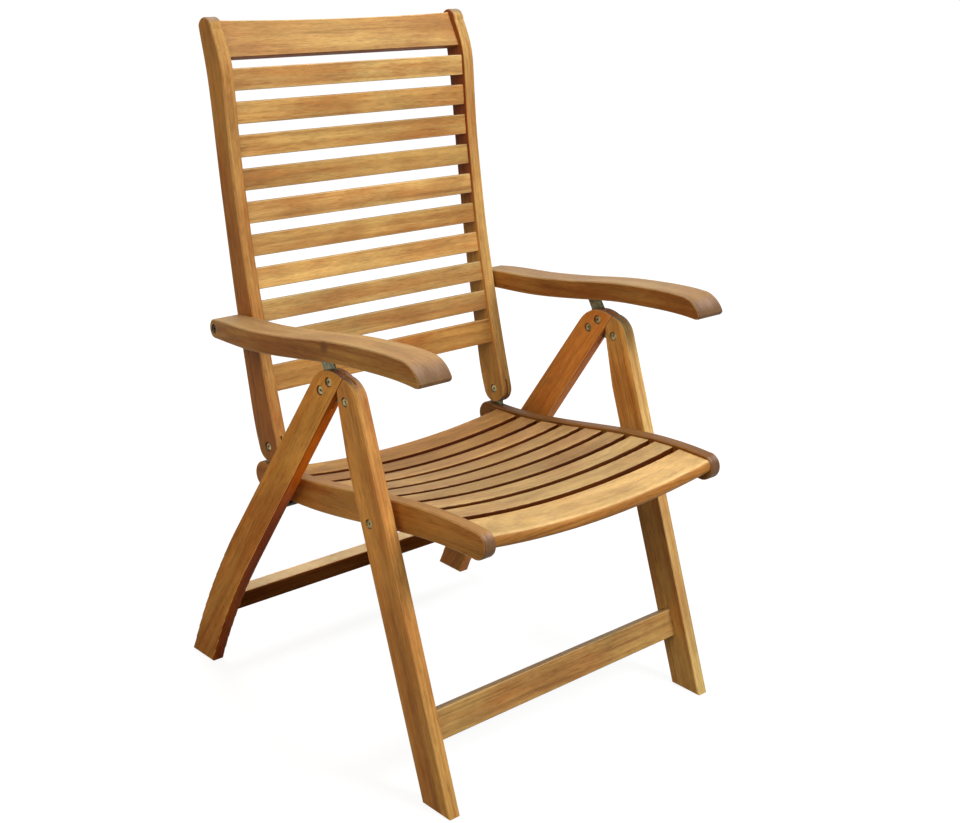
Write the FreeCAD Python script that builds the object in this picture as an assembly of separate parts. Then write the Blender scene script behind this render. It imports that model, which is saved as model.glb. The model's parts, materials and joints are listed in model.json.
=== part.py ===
import FreeCAD, Part
import math
import os

# Folding slatted armchair, in millimetres.
# x is the width, the chair faces -y, z is up and the floor is z = 0.
# Side-view places are given as (back, z): the distance behind the front feet, and the height.
Vec = FreeCAD.Vector
X_AXIS = Vec(1, 0, 0)

# Legs
leg_outer = 300.0
leg_thick = 22.0
leg_width = 55.0
leg_inner = leg_outer - leg_thick
leg_mid = leg_outer - leg_thick / 2
front_lean = 22.35
rear_lean = 30.5
edge_round = 2.5

# Pivots and bolts, set from the edge or the pivot that they follow
leg_pivot_z = 570.0
leg_pivot_in = 31.6
bracket_high_up = 10.8
bracket_high_in = 20.1
bracket_low_down = 14.4
bracket_low_in = 27.4
seat_pivot_in = 38.6
seat_pivot_drop = 28.7
rail_bolt_behind = 6.0
rail_bolt_drop = 17.0
hinge_behind = 4.0
hinge_rise = 47.5
arm_pivot_rise = 33.5
arm_pivot_in = 33.0

# Front leg, with its top set from the leg pivot
shoulder_rise = 10.0
shoulder_bulge = (-19.1, 22.6)
tip_rise = 34.0
stop_tall = 22.0
relief_drop = 86.0
relief_corner = (15.0, -11.0)
front_kerf_deep = 28.0

# Rear leg
rear_width = 57.0
rear_edge_gap = 26.2
foot_bend_z = 230.0
foot_bend_radius = 1300.0
rear_top_width = 50.0
crown_drop = 15.0
crown_tall = 56.5
crown_over = (26.2, 43.3)

# Stretchers
stretcher_thick = 20.0
front_stretcher_height = 47.0
front_stretcher_z = 108.0
front_stretcher_set = 8.0
rear_stretcher_height = 44.0
rear_stretcher_in = 31.7
rear_stretcher_lean = 24.1
stretcher_tenon = 14.0
stretcher_shoulder = 5.0
stretcher_cheek = 4.0

# Seat rails and back stiles share one plane
side_gap = 17.5
rail_outer = leg_inner - side_gap
rail_thick = 22.0
rail_inner = rail_outer - rail_thick
rail_mid = rail_outer - rail_thick / 2
rail_top_front = 444.0
rail_top_drop = 57.0
rail_top_from = 60.0
rail_deep = 42.0
rail_low_drop = 58.0
rail_low_from = 30.0
rail_fall = 440.0
rail_front = 2.0
rail_nose = 26.0
rail_back = 37.0
rail_tail = 7.0

# Seat slats
seat_slats = 9
slat_set = 5.5
slat_sag = 17.0
slat_thick = 15.0
front_slat_thick = 21.5
first_gap = 78.0
seat_pitch = 50.7
seat_gap = 11.0
front_slat_edge = 6.0
rear_slat_width = 51.6
bullnose = 9.5
slat_shoulder = 6.0
slat_cheek = 3.5

# Back, with its outline set from the back pivot
stile_end = 25.0
stile_lean = 17.5
stile_round = 14.5
stile_front_pts = [(0, 75.5), (24, 147.5), (47, 221.5), (67, 291.5), (84, 361.5), (99, 426.5),
                   (110, 486.5), (118, 536.5), (125.5, 573.5), (136.5, 599.5), (151.5, 624.5)]
stile_rear_pts = [(36, 23.5), (51, 75.5), (68, 137.5), (89, 216.5), (111, 311.5), (132, 407.5),
                  (152, 506.5), (161, 546.5), (171, 581.5), (180, 608.5), (185, 625.5)]
back_slats = 10
first_slat_drop = 61.5
back_pitch = 49.2
back_slat_width = 33.5
low_slat_width = 42.0
low_slat_drop = 3.0
back_slat_thick = 13.0
back_slat_set = 6.0
top_rail_drop = 10.0
top_rail_width = 60.0
top_rail_thick = 15.0
top_rail_set = 10.0
top_rail_sag = 4.0
slat_tenon = 8.0
tenon_overlap = 20.0
back_shoulder = 5.0
back_cheek = 2.5
top_shoulder = 11.0
top_cheek = 3.0

# Armrests, with their outline set from the leg pivot
arm_gap = 4.0
arm_inner = rail_outer + arm_gap
arm_width = 60.5
arm_outer = arm_inner + arm_width
arm_end = 15.0
arm_taper = 13.0
arm_taper_run = 150.0
arm_top_pts = [(246, 55.5), (195, 60.5), (145, 68), (93, 77), (48, 86), (4, 94), (-60, 102.5), (-116, 107.5)]
arm_low_pts = [(-145, 76.5), (-104, 74.3), (-68, 71), (-17, 65.5), (27, 58), (73, 49), (121, 40), (170, 32),
               (212, 27), (246, 24)]
arm_nose_top = (-149.0, 108.0)
arm_nose_mid = (-174.5, 97.0)
arm_nose_tip = (-185.0, 84.0)
arm_nose_under = [(-184.0, 80.0), (-181.0, 77.2)]
arm_nose_low = (-175.5, 76.0)
arm_round = 2.5
arm_bolt_clear = 3.0
track_run = 176.0
track_clear = 24.0
track_wide = 26.0
track_thick = 2.0
track_slot = 8.0
track_notch = 5.0
notches = 5
notch_pitch = 23.0
notch_first = 14.0
track_end = 13.0
track_hole_dia = 4.0
track_hole_in = 6.0
groove_deep = 15.0
groove_end = 10.0
track_set = 2.0

# Hardware
plate_thick = 3.0
kerf_gap = 0.3
plate_round = 12.0
kerf_end = 3.0
kerf_run = 2 * leg_width
tongue_pts = [(22, 28), (57, 18), (61, 33), (70, 46), (72, 59), (46, 62), (42, 50), (32, 37)]
bolt_dia = 7.0
head_dia = 13.0
head_tall = 3.4
head_round = 1.2
sink_dia = 15.0
sink_deep = 5.0
socket_wide = 4.0
socket_deep = 2.0
turn_gap = 0.06
face_gap = 0.2
washer_dia = 24.0
spacer_dia = 20.0
pin_dia = 10.0
pin_round = 1.5
pin_in = 17.3
pin_gap = 0.3
pin_inset = 4.0
tenon_gap = 0.15
tenon_end_gap = 0.5


def at(back, z, x=0.0):
    return Vec(x, back - depth / 2, z)


def line(a, b):
    return Part.makeLine(at(*a), at(*b))


def arc(a, b, c):
    return Part.Arc(at(*a), at(*b), at(*c)).toShape()


def spline(points):
    curve = Part.BSplineCurve()
    curve.interpolate([at(*p) for p in points])
    return curve


def slab(edges, x_from, x_to):
    face = Part.Face(Part.Wire(edges))
    face.translate(Vec(x_from, 0, 0))
    return face.extrude(Vec(x_to - x_from, 0, 0))


def rod(place, dia, x_from, x_to):
    return Part.makeCylinder(dia / 2, x_to - x_from, at(place[0], place[1], x_from), X_AXIS)


def soften(shape, radius):
    # Rounds the edges that run around the two side faces of a board.
    box = shape.BoundBox
    sides = []
    for edge in shape.Edges:
        place = edge.BoundBox
        off = min(abs(place.XMin - box.XMin), abs(place.XMax - box.XMax))
        if place.XLength < 0.01 and off < 0.01:
            sides.append(edge)
    return shape.makeFillet(radius, sides)


def soften_long(shape, radius):
    # Rounds the long crosswise edges of a slat.
    long = [edge for edge in shape.Edges if edge.BoundBox.XLength > rail_inner]
    return shape.makeFillet(radius, long)


def block(reach, thick, tall):
    # A block about the origin that reaches as far to each side.
    return Part.makeBox(2 * reach, thick, tall, Vec(-reach, -thick / 2, -tall / 2))


def other_side(shape):
    return shape.mirror(Vec(), X_AXIS)


def lean_place(shape, back, z, lean):
    # Tips a shape rearward by the lean angle and puts its origin at a side-view place.
    shape.rotate(Vec(), X_AXIS, -lean)
    shape.translate(at(back, z))
    return shape


def step(u):
    u = min(max(u, 0.0), 1.0)
    return u * u * (3 - 2 * u)


def rail_top(back):
    return rail_top_front - rail_top_drop * step((back - rail_top_from) / rail_fall)


def rail_low(back):
    return rail_top_front - rail_deep - rail_low_drop * step((back - rail_low_from) / rail_fall)


def rail_slope(back):
    return math.degrees(math.atan((rail_top(back + 1) - rail_top(back - 1)) / 2))


def along(start, angle, length):
    # A place further up a line that tips forward by the angle.
    turn = math.radians(angle)
    return (start[0] - length * math.sin(turn), start[1] + length * math.cos(turn))


def across(start, angle, length):
    # A place further back, square to a line that tips forward by the angle.
    turn = math.radians(angle)
    return (start[0] + length * math.cos(turn), start[1] + length * math.sin(turn))


def front_edge_back(z):
    return z * math.tan(math.radians(front_lean))


def rear_edge_at(z):
    return leg_pivot[0] + rear_edge_gap + (leg_pivot_z - z) * math.tan(math.radians(rear_lean))


def shifted(points, start):
    return [(start[0] + back, start[1] + rise) for back, rise in points]


def in_rear_leg(up, inset):
    # A place in the rear leg, up along it from level with the leg pivot and in from its front edge.
    return across(along((rear_edge_at(leg_pivot_z), leg_pivot_z), rear_lean, up), rear_lean, inset)


def meet(edge_at, inset, height_at):
    # The place a set distance behind a leg's front edge, at the height that the seat rail gives there.
    back = 0.0
    for _ in range(20):
        back = edge_at(height_at(back)) + inset
    return back, height_at(back)


def seat_pivot_height(back):
    return rail_top(back) - seat_pivot_drop


def pin_height(back):
    return rail_low(back) - pin_dia / 2 - pin_gap


def rear_slat_front():
    return first_gap + seat_pitch * (seat_slats - 2) + seat_gap / 2


def rail_bolt_place():
    back = rear_slat_front() + rear_slat_width + rail_bolt_behind
    return back, rail_top(back) - rail_bolt_drop


def bolt_head(place, x_seat, out):
    # A round head with a socket; it stands off its seat towards +x or -x.
    top = x_seat + out * head_tall
    head = rod(place, head_dia, min(x_seat, top), max(x_seat, top))
    rim = [edge for edge in head.Edges if abs(edge.CenterOfMass.x - top) < 0.01]
    head = head.makeFillet(head_round, [edge for edge in rim if edge.BoundBox.XLength < 0.01])
    corners = []
    for i in range(7):
        back, z = across(place, 60 * i, socket_wide / 2)
        corners.append(at(back, z, top))
    return head.cut(Part.Face(Part.makePolygon(corners)).extrude(Vec(-out * socket_deep, 0, 0)))


def sleeve_bolt(place, x_inner, x_outer):
    # A bolt with a sunk head at each end.
    low = x_inner + sink_deep
    high = x_outer - sink_deep
    return rod(place, bolt_dia, low, high).fuse([bolt_head(place, low, -1), bolt_head(place, high, 1)])


def blind_bolt(place, x_end, x_outer):
    # A bolt with a sunk head at its outer end only.
    high = x_outer - sink_deep
    return rod(place, bolt_dia, x_end, high).fuse(bolt_head(place, high, 1))


def drill(board, place, x_inner, x_outer, gap, sinks):
    # Bores a board for a bolt and sinks the faces that its heads sit in.
    board = board.cut(rod(place, bolt_dia + 2 * gap, x_inner - 1, x_outer + 1))
    if "inner" in sinks:
        board = board.cut(rod(place, sink_dia, x_inner - 1, x_inner + sink_deep + gap))
    if "outer" in sinks:
        board = board.cut(rod(place, sink_dia, x_outer - sink_deep - gap, x_outer + 1))
    return board


def kerf(x_mid, place, lean):
    # The saw cut for a plate: it runs out of a board's end from a place, and tips rearward by the lean.
    half = plate_thick / 2 + kerf_gap
    box = Part.makeBox(2 * half, 2 * kerf_run, kerf_run, Vec(-half, -kerf_run, 0))
    box.rotate(Vec(), X_AXIS, -lean)
    box.translate(at(place[0], place[1], x_mid))
    return box


def corner_kerf(x_mid, corner):
    # A saw cut that opens upward and rearward from its lowest corner.
    half = plate_thick / 2 + kerf_gap
    return Part.makeBox(2 * half, kerf_run, kerf_run, at(corner[0], corner[1], x_mid - half))


def link(places, radius, x_mid):
    # A flat plate that joins places with a round corner about each of them.
    shape = None
    for i, first in enumerate(places):
        for second in places[i + 1:]:
            run = at(*second) - at(*first)
            side = run.cross(X_AXIS).normalize() * radius
            ring = [at(*first) + side, at(*second) + side, at(*second) - side, at(*first) - side]
            strip = Part.Face(Part.makePolygon(ring + ring[:1])).extrude(Vec(plate_thick, 0, 0))
            shape = strip if shape is None else shape.fuse(strip)
    for place in places:
        shape = shape.fuse(rod(place, 2 * radius, 0, plate_thick))
    shape.translate(Vec(x_mid - plate_thick / 2, 0, 0))
    return shape


def front_leg():
    tip_z = leg_pivot_z + tip_rise
    tip = (rear_edge_at(tip_z), tip_z)
    heel = (rear_edge_at(tip_z - stop_tall), tip_z - stop_tall)
    foot = leg_width / math.cos(math.radians(front_lean))
    relief_z = leg_pivot_z - relief_drop
    relief = (front_edge_back(relief_z) + foot, relief_z)
    shoulder_z = leg_pivot_z + shoulder_rise
    shoulder = (front_edge_back(shoulder_z), shoulder_z)
    relief_high, shoulder_mid = shifted([relief_corner, shoulder_bulge], leg_pivot)
    corners = [shoulder, (0, 0), (foot, 0), relief, relief_high, heel, tip]
    edges = [line(a, b) for a, b in zip(corners, corners[1:])]
    edges.append(arc(tip, shoulder_mid, shoulder))
    leg = soften(slab(edges, leg_inner, leg_outer), edge_round)
    kerf_corner = (leg_pivot[0] - plate_round, leg_pivot[1] - front_kerf_deep)
    leg = leg.cut(corner_kerf(leg_mid, kerf_corner))
    leg = drill(leg, leg_pivot, leg_inner, leg_outer, 0, ("inner", "outer"))
    leg = drill(leg, seat_pivot, leg_inner, leg_outer, 0, ("outer",))
    return leg.cut(front_stretcher_block(tenon_gap, tenon_end_gap))


def foot_bend():
    # The two edges where the foot's bend starts, and the centre of the bend.
    front = (rear_edge_at(foot_bend_z), foot_bend_z)
    centre = across(front, rear_lean, -foot_bend_radius)
    return front, across(front, rear_lean, rear_width), centre


def bend_point(centre, radius, angle):
    turn = math.radians(angle)
    return (centre[0] + radius * math.cos(turn), centre[1] + radius * math.sin(turn))


def floor_angle(centre, radius):
    return math.degrees(math.asin(-centre[1] / radius))


def rear_leg():
    front, rear, centre = foot_bend()
    outer = foot_bend_radius + rear_width
    front_end = floor_angle(centre, foot_bend_radius)
    rear_end = floor_angle(centre, outer)
    toe = bend_point(centre, foot_bend_radius, front_end)
    heel = bend_point(centre, outer, rear_end)
    crown_z = leg_pivot_z - crown_drop
    crown = (rear_edge_at(crown_z), crown_z)
    tip = along(crown, rear_lean, crown_tall)
    side = across(crown, rear_lean, rear_top_width)
    over = across(along(crown, rear_lean, crown_over[0]), rear_lean, crown_over[1])
    front_mid = bend_point(centre, foot_bend_radius, (front_end + rear_lean) / 2)
    rear_mid = bend_point(centre, outer, (rear_end + rear_lean) / 2)
    edges = [arc(front, front_mid, toe), line(toe, heel), arc(heel, rear_mid, rear),
             line(rear, side), arc(side, over, tip), line(tip, front)]
    leg = soften(slab(edges, leg_inner, leg_outer), edge_round)
    kerf_from = along(bracket_bolt_low, rear_lean, -plate_round - kerf_end)
    leg = leg.cut(kerf(leg_mid, kerf_from, -rear_lean))
    leg = drill(leg, bracket_bolt_high, leg_inner, leg_outer, 0, ("inner", "outer"))
    leg = drill(leg, bracket_bolt_low, leg_inner, leg_outer, 0, ("inner", "outer"))
    leg = leg.cut(rod(pin_place, pin_dia, leg_inner - 1, leg_mid))
    return leg.cut(rear_stretcher_block(tenon_gap, tenon_end_gap))


def stretcher(height, gap, end_gap):
    # A board between two legs; with a gap it is the tool that cuts the mortises for its tenons.
    reach = leg_inner + stretcher_tenon + end_gap
    tall = height - 2 * stretcher_shoulder + 2 * gap
    thick = stretcher_thick - 2 * stretcher_cheek + 2 * gap
    tenon = block(reach, thick, tall)
    if gap > 0:
        return tenon
    return soften_long(block(leg_inner, stretcher_thick, height), edge_round).fuse(tenon)


def front_stretcher_block(gap=0.0, end_gap=0.0):
    middle = front_edge_back(front_stretcher_z) + leg_width / 2 / math.cos(math.radians(front_lean))
    return lean_place(stretcher(front_stretcher_height, gap, end_gap), middle + front_stretcher_set,
                      front_stretcher_z, front_lean)


def rear_stretcher_block(gap=0.0, end_gap=0.0):
    board = stretcher(rear_stretcher_height, gap, end_gap)
    place = bend_point(foot_bend()[2], foot_bend_radius + rear_stretcher_in, rear_stretcher_lean)
    return lean_place(board, place[0], place[1], -rear_stretcher_lean)


def support_pin():
    reach = rail_inner + pin_inset
    pin = rod(pin_place, pin_dia, reach, leg_mid)
    rim = [edge for edge in pin.Edges if edge.BoundBox.XMax < reach + 0.01]
    return pin.makeFillet(pin_round, rim)


def leg_bracket():
    # The bracket plate in the rear leg's saw cut, with the tongue that the armrest rests on.
    plate = link([leg_pivot, bracket_bolt_high, bracket_bolt_low], plate_round - 1, leg_mid)
    tongue = shifted(tongue_pts, leg_pivot)
    edges = [line(a, b) for a, b in zip(tongue, tongue[1:] + tongue[:1])]
    plate = plate.fuse(slab(edges, leg_mid - plate_thick / 2, leg_mid + plate_thick / 2)).removeSplitter()
    plate = plate.cut(rod(leg_pivot, bolt_dia + 2 * turn_gap, leg_inner, leg_outer))
    for place in (bracket_bolt_high, bracket_bolt_low):
        plate = plate.cut(rod(place, bolt_dia, leg_inner, leg_outer))
    return plate


def seat_rail():
    steps = 8
    top = []
    low = []
    for i in range(steps + 1):
        back = rail_nose + (rail_bolt[0] + rail_tail - rail_nose) * i / steps
        top.append((back, rail_top(back)))
        low.append((back, rail_low(back)))
    nose = (rail_front, (top[0][1] + low[0][1]) / 2)
    tail = (rail_bolt[0] + rail_back, (top[-1][1] + low[-1][1]) / 2)
    edges = [spline(top).toShape(), arc(top[-1], tail, low[-1]), spline(low[::-1]).toShape(),
             arc(low[0], nose, top[0])]
    rail = soften(slab(edges, rail_inner, rail_outer), edge_round)
    kerf_corner = (rail_bolt[0] - plate_round - kerf_end, rail_bolt[1] - plate_round - kerf_end)
    rail = rail.cut(corner_kerf(rail_mid, kerf_corner))
    rail = drill(rail, rail_bolt, rail_inner, rail_outer, 0, ("inner", "outer"))
    rail = drill(rail, seat_pivot, rail_inner, rail_outer, turn_gap, ("inner",))
    for index in range(seat_slats):
        rail = rail.cut(seat_slat_tenon(index, tenon_gap, tenon_end_gap))
    return rail


def seat_slat_place(index):
    # The middle, the width and the thickness of a seat slat, counted from the front.
    if index == 0:
        edges = (front_slat_edge, first_gap - seat_gap / 2)
    elif index == seat_slats - 1:
        edges = (rear_slat_front(), rear_slat_front() + rear_slat_width)
    else:
        front = first_gap + seat_pitch * (index - 1) + seat_gap / 2
        edges = (front, front + seat_pitch - seat_gap)
    thick = front_slat_thick if index == 0 else slat_thick
    return (edges[0] + edges[1]) / 2, edges[1] - edges[0], thick


def seat_slat_z(index):
    middle, _, thick = seat_slat_place(index)
    return rail_top(middle) - slat_set - thick / 2


def crosswise(slat, y_from, y_to):
    # The long edges of a slat that lie between two places across it.
    long = [edge for edge in slat.Edges if edge.BoundBox.XLength > rail_inner]
    return [edge for edge in long if y_from < edge.BoundBox.YMin and edge.BoundBox.YMax < y_to]


def seat_slat_tenon(index, gap, end_gap):
    middle, width, thick = seat_slat_place(index)
    reach = rail_inner + slat_tenon + end_gap
    wide = width - 2 * slat_shoulder + 2 * gap
    tall = thick - 2 * slat_cheek + 2 * gap
    return lean_place(block(reach, wide, tall), middle, seat_slat_z(index), -rail_slope(middle))


def seat_slat(index):
    middle, width, thick = seat_slat_place(index)
    ends = []
    for z in (thick / 2, -thick / 2):
        ends.append((Vec(-rail_inner, 0, z), Vec(0, 0, z - slat_sag), Vec(rail_inner, 0, z)))
    edges = [Part.Arc(*ends[0]).toShape(), Part.makeLine(ends[0][2], ends[1][2]),
             Part.Arc(ends[1][2], ends[1][1], ends[1][0]).toShape(), Part.makeLine(ends[1][0], ends[0][0])]
    face = Part.Face(Part.Wire(edges))
    face.translate(Vec(0, -width / 2, 0))
    slat = face.extrude(Vec(0, width, 0))
    front_round = bullnose if index == 0 else edge_round
    slat = slat.makeFillet(front_round, crosswise(slat, -width, 0))
    slat = slat.makeFillet(edge_round, crosswise(slat, 0, width))
    slat = lean_place(slat, middle, seat_slat_z(index), -rail_slope(middle))
    root = rail_inner - tenon_overlap
    core = Part.makeBox(2 * root, 2 * depth, depth, Vec(-root, -depth, 0))
    return slat.fuse(seat_slat_tenon(index, 0, 0).cut(core))


def seat_hinge():
    plate = link([rail_bolt, back_pivot], plate_round, rail_mid)
    plate = plate.cut(rod(back_pivot, bolt_dia + 2 * turn_gap, rail_inner, rail_outer))
    return plate.cut(rod(rail_bolt, bolt_dia, rail_inner, rail_outer)).removeSplitter()


def seat_spacer():
    spacer = rod(seat_pivot, spacer_dia, rail_outer + face_gap, leg_inner)
    return spacer.cut(rod(seat_pivot, bolt_dia, rail_outer, leg_inner))


def stile_curves():
    front_start = across(back_pivot, -stile_lean, -stile_end)
    rear_start = across(back_pivot, -stile_lean, stile_end)
    front = [front_start] + shifted(stile_front_pts, back_pivot)
    rear = [rear_start] + shifted(stile_rear_pts, back_pivot)
    return spline(front), spline(rear)


def on_stile(z):
    # The place and the lean of the stile's front edge at a height.
    curve = stile_curves()[0]
    low = curve.FirstParameter
    high = curve.LastParameter
    for _ in range(40):
        middle = (low + high) / 2
        if curve.value(middle).z < z:
            low = middle
        else:
            high = middle
    point = curve.value(low)
    run = curve.tangent(low)[0]
    return point.y + depth / 2, math.degrees(math.atan2(run.y, run.z))


def top_rail_z():
    return back_pivot[1] + stile_front_pts[-1][1] - top_rail_drop


def back_slat_place(index):
    z = top_rail_z() - first_slat_drop - back_pitch * index
    if index == back_slats - 1:
        return z - low_slat_drop, low_slat_width
    return z, back_slat_width


def back_slat(index, gap=0.0, end_gap=0.0):
    # A flat back slat; with a gap it is the tool that cuts the mortises for its tenons.
    z, width = back_slat_place(index)
    back, lean = on_stile(z)
    tall = width - 2 * back_shoulder + 2 * gap
    deep = back_slat_thick - 2 * back_cheek + 2 * gap
    slat = block(rail_inner + slat_tenon + end_gap, deep, tall)
    if gap == 0:
        slat = soften_long(block(rail_inner, back_slat_thick, width), edge_round).fuse(slat)
    middle = across((back, z), -lean, back_slat_set + back_slat_thick / 2)
    return lean_place(slat, middle[0], middle[1], lean)


def top_rail(gap=0.0, end_gap=0.0):
    back, lean = on_stile(top_rail_z())
    tall = top_rail_width - 2 * top_shoulder + 2 * gap
    deep = top_rail_thick - 2 * top_cheek + 2 * gap
    shape = block(rail_inner + slat_tenon + end_gap, deep, tall)
    if gap == 0:
        half = top_rail_width / 2
        corners = [Vec(rail_inner, 0, half), Vec(rail_inner, 0, -half), Vec(-rail_inner, 0, -half),
                   Vec(-rail_inner, 0, half)]
        edges = [Part.makeLine(a, b) for a, b in zip(corners, corners[1:])]
        edges.append(Part.Arc(corners[-1], Vec(0, 0, half - top_rail_sag), corners[0]).toShape())
        face = Part.Face(Part.Wire(edges))
        face.translate(Vec(0, -top_rail_thick / 2, 0))
        board = soften_long(face.extrude(Vec(0, top_rail_thick, 0)), edge_round)
        shape = board.fuse(shape)
    middle = across((back, top_rail_z()), -lean, top_rail_set + top_rail_thick / 2)
    return lean_place(shape, middle[0], middle[1], lean)


def arm_bolt_end():
    return rail_inner + slat_tenon + arm_bolt_clear


def back_stile():
    front, rear = stile_curves()
    front_start = across(back_pivot, -stile_lean, -stile_end)
    rear_start = across(back_pivot, -stile_lean, stile_end)
    foot = along(back_pivot, -stile_lean, -stile_end)
    front_top, rear_top = shifted([stile_front_pts[-1], stile_rear_pts[-1]], back_pivot)
    crown_mid = ((front_top[0] + rear_top[0]) / 2, (front_top[1] + rear_top[1]) / 2 + stile_round)
    crown = arc(front_top, crown_mid, rear_top)
    edges = [front.toShape(), crown, rear.toShape(), arc(rear_start, foot, front_start)]
    stile = soften(slab(edges, rail_inner, rail_outer), edge_round)
    kerf_from = along(back_pivot, -stile_lean, plate_round + kerf_end)
    stile = stile.cut(kerf(rail_mid, kerf_from, stile_lean + 180))
    stile = drill(stile, back_pivot, rail_inner, rail_outer, turn_gap, ("inner", "outer"))
    stile = stile.cut(rod(arm_pivot, bolt_dia + 2 * turn_gap, arm_bolt_end() - face_gap, rail_outer + 1))
    for index in range(back_slats):
        stile = stile.cut(back_slat(index, tenon_gap, tenon_end_gap))
    return stile.cut(top_rail(tenon_gap, tenon_end_gap))


def arm_side(back):
    # How far out the armrest's outer side is: it curves in towards the rear end.
    run = back - (arm_pivot[0] + arm_end - arm_taper_run)
    if run <= 0:
        return arm_outer
    radius = arm_taper_radius()
    return arm_outer - radius + math.sqrt(radius ** 2 - run ** 2)


def arm_taper_radius():
    return (arm_taper_run ** 2 + arm_taper ** 2) / (2 * arm_taper)


def taper_tool():
    # What the saw takes off the outer side where the armrest narrows. It runs out past the rear end.
    start = arm_pivot[0] + arm_end - arm_taper_run
    end = arm_pivot[0] + 2 * arm_end
    middle = (start + end) / 2
    corners = [at(start, 0, arm_outer), at(middle, 0, arm_side(middle)), at(end, 0, arm_side(end))]
    outside = [at(end, 0, arm_outer + arm_taper), at(start, 0, arm_outer + arm_taper)]
    ring = [corners[2], outside[0], outside[1], corners[0]]
    edges = [Part.Arc(*corners).toShape()] + [Part.makeLine(a, b) for a, b in zip(ring, ring[1:])]
    return Part.Face(Part.Wire(edges)).extrude(Vec(0, 0, 2 * leg_pivot_z))


def soften_arm(arm):
    # Rounds the edges around the flat inner side and the outer side that curves in.
    sides = []
    for edge in arm.Edges:
        middle = edge.valueAt((edge.FirstParameter + edge.LastParameter) / 2)
        off = min(abs(middle.x - arm_inner), abs(middle.x - arm_side(middle.y + depth / 2)))
        upright = edge.BoundBox.YLength < 0.01 and edge.BoundBox.ZLength > arm_end
        if off < 0.01 and not upright:
            sides.append(edge)
    return arm.makeFillet(arm_round, sides)


def armrest():
    rear_top = (arm_pivot[0], arm_pivot[1] + arm_end)
    rear_low = (arm_pivot[0], arm_pivot[1] - arm_end)
    rear_mid = (arm_pivot[0] + arm_end, arm_pivot[1])
    nose = shifted([arm_nose_top, arm_nose_mid, arm_nose_tip] + arm_nose_under + [arm_nose_low], leg_pivot)
    top = spline([rear_top] + shifted(arm_top_pts, leg_pivot) + [nose[0]]).toShape()
    under = spline([nose[-1]] + shifted(arm_low_pts, leg_pivot) + [rear_low]).toShape()
    edges = [top, arc(*nose[:3])] + [line(a, b) for a, b in zip(nose[2:], nose[3:])]
    edges += [under, arc(rear_low, rear_mid, rear_top)]
    arm = soften_arm(slab(edges, arm_inner, arm_outer).cut(taper_tool()))
    arm = drill(arm, arm_pivot, arm_inner, arm_side(arm_pivot[0]), turn_gap, ("outer",))
    arm = arm.cut(track_block(track_wide, track_length(), track_thick))
    groove = track_block(track_slot + 2 * track_notch, track_length() - 2 * groove_end, groove_deep)
    return arm.cut(groove)


def arm_under(back):
    # The height of the armrest's underside over the leg pivot, along straight runs between its points.
    for first, second in zip(arm_low_pts, arm_low_pts[1:]):
        if first[0] <= back <= second[0]:
            return first[1] + (second[1] - first[1]) * (back - first[0]) / (second[0] - first[0])
    return arm_low_pts[0][1]


def track_ends():
    # The two ends of the track on the armrest's underside, set from the tongue, over the leg pivot.
    rear = max(back for back, rise in tongue_pts) + track_clear
    front = rear - track_run
    return (front, arm_under(front)), (rear, arm_under(rear))


def track_frame():
    front, rear = track_ends()
    lean = math.degrees(math.atan2(front[1] - rear[1], rear[0] - front[0]))
    middle = ((front[0] + rear[0]) / 2, (front[1] + rear[1]) / 2 + track_set)
    back, z = shifted([middle], leg_pivot)[0]
    return back, z, lean


def track_length():
    front, rear = track_ends()
    return math.hypot(rear[0] - front[0], front[1] - rear[1])


def track_block(wide, length, tall):
    # A block that cuts into the armrest's underside along the track.
    middle, z, lean = track_frame()
    corner = Vec(leg_mid - wide / 2, -length / 2, -groove_deep)
    return lean_place(Part.makeBox(wide, length, tall + groove_deep, corner), middle, z, lean)


def notch_plate():
    # The steel plate let into the armrest's underside, with a row of notches along its slot.
    middle, z, lean = track_frame()
    length = track_length()
    tall = track_thick
    plate = Part.makeBox(track_wide, length, tall, Vec(leg_mid - track_wide / 2, -length / 2, 0))
    slot = length - 2 * track_end
    plate = plate.cut(Part.makeBox(track_slot, slot, tall, Vec(leg_mid - track_slot / 2, -slot / 2, 0)))
    for i in range(notches):
        y = slot / 2 - notch_first - notch_pitch * i
        plate = plate.cut(Part.makeCylinder(track_notch, tall, Vec(leg_mid + track_slot / 2, y, 0)))
    for y in (track_hole_in - length / 2, length / 2 - track_hole_in):
        plate = plate.cut(Part.makeCylinder(track_hole_dia / 2, tall, Vec(leg_mid, y, 0)))
    return lean_place(plate, middle, z, lean)


def arm_washer():
    washer = rod(arm_pivot, washer_dia, rail_outer + face_gap, arm_inner - face_gap)
    return washer.cut(rod(arm_pivot, bolt_dia, rail_outer, arm_inner))


def both(shape):
    return Part.makeCompound([other_side(shape), shape])


def export(name, shape):
    shape.exportStep("parts/%s.step" % name)


def export_pair(name, shape):
    export(name + "_left", other_side(shape))
    export(name + "_right", shape)


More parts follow.
